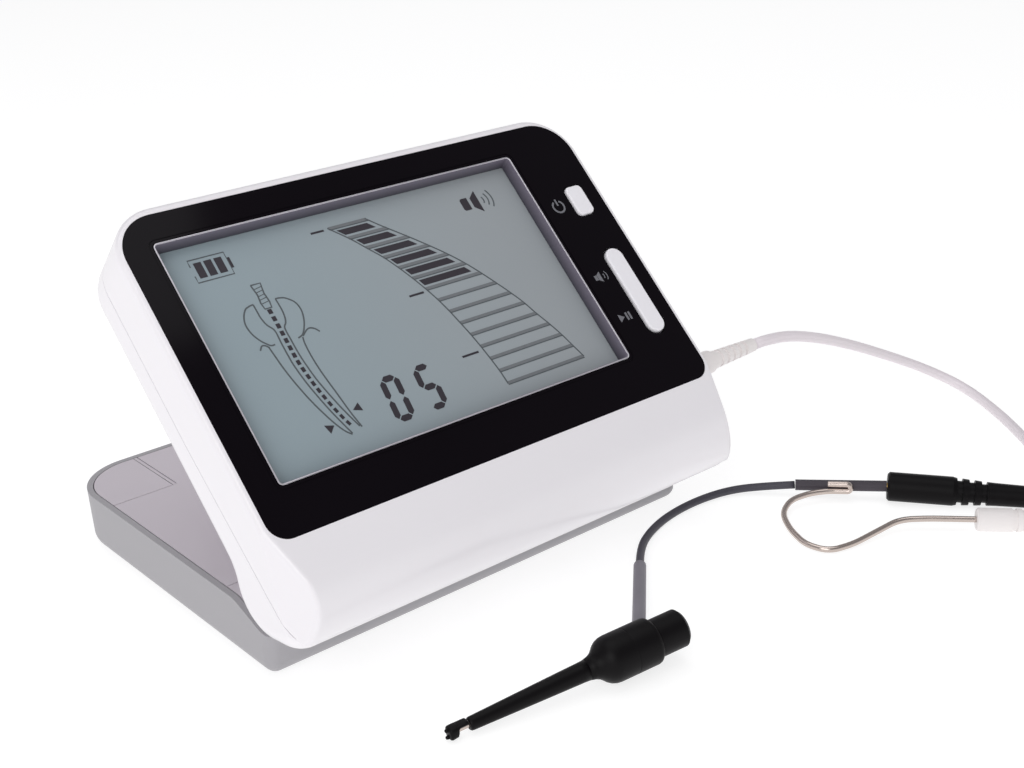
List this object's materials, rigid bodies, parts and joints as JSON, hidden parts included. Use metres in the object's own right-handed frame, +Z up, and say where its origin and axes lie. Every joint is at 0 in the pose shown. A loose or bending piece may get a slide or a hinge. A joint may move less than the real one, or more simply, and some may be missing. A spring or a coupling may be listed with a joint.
{
  "type": "apex locator",
  "caption": "Tilting screen unit on a low wedge base for root canal length measurement, with measuring cable, lip hook and spring file clip.",
  "frame": {"origin": "middle of the unit's footprint on the table, the free cable and its accessories left out", "axes": "+X to the right seen from the front, along the hinge axis; +Y to the back; +Z up; the screen faces -Y and up"},
  "size_m": [0.2455, 0.2356, 0.0929],
  "materials": {
    "white_housing": "smooth white, soft gloss",
    "black_panel": "deep gloss black",
    "screen_glass": "grey-green liquid crystal glass with dark segments",
    "diffuser": "milky",
    "contact_strip": "soft striped contact rubber",
    "circuit_board": "green solder mask",
    "black_component": "moulded, matt",
    "key_plastic": "smooth light grey",
    "grey_base": "fine matt grain, light grey",
    "grey_cover": "fine matt grain, light grey",
    "steel": "plain machined steel",
    "cell_wrap": "shrink-wrapped",
    "foot_rubber": "soft matt rubber",
    "inner_cable": "soft sheath",
    "cable_white": "soft sheath, off-white",
    "plug_cream": "moulded, cream white",
    "cable_grey": "soft sheath, dark grey",
    "sleeve_grey": "soft sleeve, mid grey",
    "black_plastic": "moulded, matt black",
    "contact_brass": "plain",
    "bright_wire": "polished steel wire"
  },
  "bodies": {
    "base": {"base_tray": "grey_base", "base_cover": "grey_cover", "hinge_cover": "grey_cover", "service_cover": "grey_cover", "base_screws": "steel", "bracket_screws": "steel", "battery_door": "grey_base", "door_screw": "steel", "battery_cell": "cell_wrap", "power_board": "circuit_board", "charge_socket": "steel", "rubber_feet": "foot_rubber", "hinge_bracket_left": "steel", "hinge_bracket_right": "steel", "hinge_shafts": "steel", "friction_washers": "steel", "retaining_rings": "steel", "harness_base": "inner_cable", "measuring_cable": "cable_white", "cable_coil": "cable_white", "cable_tail": "cable_white", "cable_splitter": "plug_cream", "black_connector": "black_plastic", "white_connector": "plug_cream", "branch_lead_black": "cable_grey", "branch_lead_white": "cable_white", "lead_sleeve_long": "sleeve_grey", "lead_pin": "contact_brass", "clip_lead": "cable_grey", "lead_sleeve_short": "sleeve_grey", "clip_body": "black_plastic", "clip_spring": "bright_wire"},
    "display": {"front_shell": "white_housing", "rear_shell": "white_housing", "bezel_panel": "black_panel", "lcd_frame": "black_panel", "lcd_glass": "screen_glass", "lcd_backlight": "diffuser", "lcd_connector": "contact_strip", "main_board": "circuit_board", "board_chips": "black_component", "tact_switches": "steel", "buzzer": "black_component", "probe_socket": "black_component", "shell_screws": "steel", "hinge_leaf_left": "steel", "hinge_leaf_right": "steel", "leaf_screws": "steel", "harness_display": "inner_cable", "harness_plug": "black_component", "measuring_plug": "plug_cream", "strain_relief": "plug_cream"},
    "power_key": {"power_key": "key_plastic"},
    "mode_rocker": {"mode_rocker": "key_plastic"},
    "clip_plunger": {"clip_cap": "black_plastic", "clip_rod": "bright_wire", "clip_jaw": "bright_wire"},
    "lip_hook": {"lip_hook": "bright_wire"}
  },
  "joints": [
    {"name": "display_tilt", "type": "hinge", "parent": "base", "child": "display", "pos_m": [0, -0.04121, 0.0248], "axis": [1, 0, 0], "range_deg": [-44, 26]},
    {"name": "power_press", "type": "slide", "parent": "display", "child": "power_key", "axis": [0, 0.6947, -0.7193], "range_m": [0, 0.0006], "stiffness_N_per_m": 1500, "springref_m": -0.0004},
    {"name": "rocker_tilt", "type": "hinge", "parent": "display", "child": "mode_rocker", "pos_m": [0.0553, -0.02494, 0.05316], "axis": [1, 0, 0], "range_deg": [-2.5, 2.5], "stiffness_Nm_per_rad": 0.2},
    {"name": "clip_push", "type": "slide", "parent": "base", "child": "clip_plunger", "axis": [-0.9793, 0.1781, -0.096], "range_m": [0, 0.004], "stiffness_N_per_m": 350, "springref_m": -0.004},
    {"name": "hook_pull", "type": "slide", "parent": "base", "child": "lip_hook", "axis": [-0.6842, 0.7293, 0], "range_m": [0, 0.012]}
  ]
}
